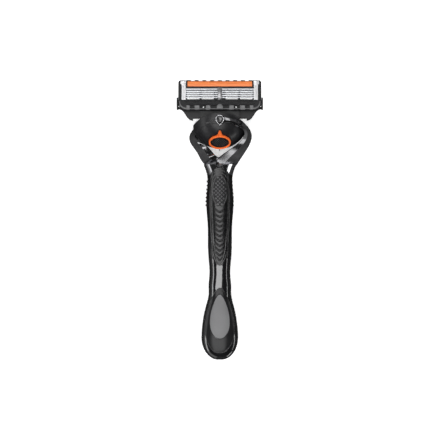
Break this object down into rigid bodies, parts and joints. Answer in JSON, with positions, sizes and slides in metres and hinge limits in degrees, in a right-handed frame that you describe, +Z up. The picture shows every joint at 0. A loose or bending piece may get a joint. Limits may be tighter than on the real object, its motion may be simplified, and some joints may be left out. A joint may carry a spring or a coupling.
{
  "type": "cartridge razor",
  "caption": "Cartridge razor lying on its back: rubber-panelled handle, chromed yoke, swinging ball pod, release button and sprung pivoting blade head.",
  "frame": {"origin": "centre of the part's bounding box, on the surface the razor lies on", "axes": "+X to the right when the blades are looked at, +Y along the handle from the tail towards the head, +Z up, out of the blade face"},
  "size_m": [0.0428, 0.14, 0.0261],
  "materials": {
    "casing_gloss": "high gloss black",
    "grip_rubber": "satin",
    "pad_rubber": "matt lattice",
    "panel_gloss": "gloss",
    "badge_plastic": "satin grey",
    "pin_steel": "satin",
    "weight_steel": "rough",
    "yoke_chrome": "polished",
    "pivot_black": "gloss",
    "pod_plastic": "satin",
    "cap_plastic": "satin",
    "mechanism_plastic": "satin",
    "spring_steel": "bright",
    "button_orange": "satin",
    "button_rubber": "matt, dotted",
    "connector_plastic": "satin",
    "housing_plastic": "satin",
    "guard_rubber": "satin",
    "comb_plastic": "satin grey",
    "strip_orange": "waxy",
    "clip_aluminium": "satin",
    "blade_steel": "ground",
    "carrier_steel": "satin"
  },
  "bodies": {
    "handle": {"front_casing": "casing_gloss", "rear_casing": "casing_gloss", "front_grip": "grip_rubber", "thumb_pad": "pad_rubber", "rear_grip": "grip_rubber", "tail_panel": "panel_gloss", "tail_badge": "badge_plastic", "balance_weight": "weight_steel", "yoke": "yoke_chrome", "tang_pin": "pin_steel", "front_pin": "pivot_black", "rear_pin": "pivot_black"},
    "pod": {"pod_front_shell": "pod_plastic", "pod_rear_shell": "pod_plastic", "pod_cap": "cap_plastic", "docking_nose": "mechanism_plastic", "plunger_spring": "spring_steel", "ejector_spring": "spring_steel"},
    "plunger": {"plunger": "mechanism_plastic"},
    "ejector": {"ejector": "mechanism_plastic"},
    "button": {"button_ring": "button_orange", "button_pad": "button_rubber"},
    "connector": {"connector": "connector_plastic"},
    "cartridge": {"cartridge_housing": "housing_plastic", "lubrication_strip": "strip_orange", "guard_strip": "guard_rubber", "comb_bar": "comb_plastic", "clip_left": "clip_aluminium", "clip_right": "clip_aluminium", "trimmer_holder": "housing_plastic", "trimmer_blade": "blade_steel"},
    "blade_unit_1": {"blade_1": "blade_steel", "blade_support_1": "carrier_steel"},
    "blade_unit_2": {"blade_2": "blade_steel", "blade_support_2": "carrier_steel"},
    "blade_unit_3": {"blade_3": "blade_steel", "blade_support_3": "carrier_steel"},
    "blade_unit_4": {"blade_4": "blade_steel", "blade_support_4": "carrier_steel"},
    "blade_unit_5": {"blade_5": "blade_steel", "blade_support_5": "carrier_steel"}
  },
  "joints": [
    {"name": "ball_swing", "type": "hinge", "parent": "handle", "child": "pod", "pos_m": [0, 0.0503, 0.0132], "axis": [0, 0, 1], "range_deg": [-12, 12], "stiffness_Nm_per_rad": 0.25},
    {"name": "cartridge_release", "type": "slide", "parent": "pod", "child": "connector", "axis": [0, 1, 0], "range_m": [0, 0.008]},
    {"name": "cartridge_pivot", "type": "hinge", "parent": "connector", "child": "cartridge", "pos_m": [0, 0.058, 0.023], "axis": [-1, 0, 0], "range_deg": [0, 40], "stiffness_Nm_per_rad": 0.01, "springref_deg": -17.19},
    {"name": "plunger_slide", "type": "slide", "parent": "pod", "child": "plunger", "axis": [0, -1, 0], "range_m": [0, 0.0038], "deforming": ["plunger_spring"]},
    {"name": "button_slide", "type": "slide", "parent": "pod", "child": "button", "axis": [0, 0.7071, 0.7071], "range_m": [0, 0.0016], "stiffness_N_per_m": 600, "springref_m": -0.001},
    {"name": "ejector_slide", "type": "slide", "parent": "pod", "child": "ejector", "axis": [0, 1, 0], "range_m": [0, 0.00114], "deforming": ["ejector_spring"]},
    {"name": "blade_1_float", "type": "slide", "parent": "cartridge", "child": "blade_unit_1", "axis": [0, -0.1736, -0.9848], "range_m": [0, 0.0003], "stiffness_N_per_m": 1000, "springref_m": -0.0001},
    {"name": "blade_2_float", "type": "slide", "parent": "cartridge", "child": "blade_unit_2", "axis": [0, -0.1736, -0.9848], "range_m": [0, 0.0003], "stiffness_N_per_m": 1000, "springref_m": -0.0001},
    {"name": "blade_3_float", "type": "slide", "parent": "cartridge", "child": "blade_unit_3", "axis": [0, -0.1736, -0.9848], "range_m": [0, 0.0003], "stiffness_N_per_m": 1000, "springref_m": -0.0001},
    {"name": "blade_4_float", "type": "slide", "parent": "cartridge", "child": "blade_unit_4", "axis": [0, -0.1736, -0.9848], "range_m": [0, 0.0003], "stiffness_N_per_m": 1000, "springref_m": -0.0001},
    {"name": "blade_5_float", "type": "slide", "parent": "cartridge", "child": "blade_unit_5", "axis": [0, -0.1736, -0.9848], "range_m": [0, 0.0003], "stiffness_N_per_m": 1000, "springref_m": -0.0001}
  ],
  "couplings": [
    {"joint": "plunger_slide", "follows": "cartridge_pivot", "m_per_rad": 0.005389},
    {"joint": "ejector_slide", "follows": "button_slide", "ratio": 0.7071}
  ]
}
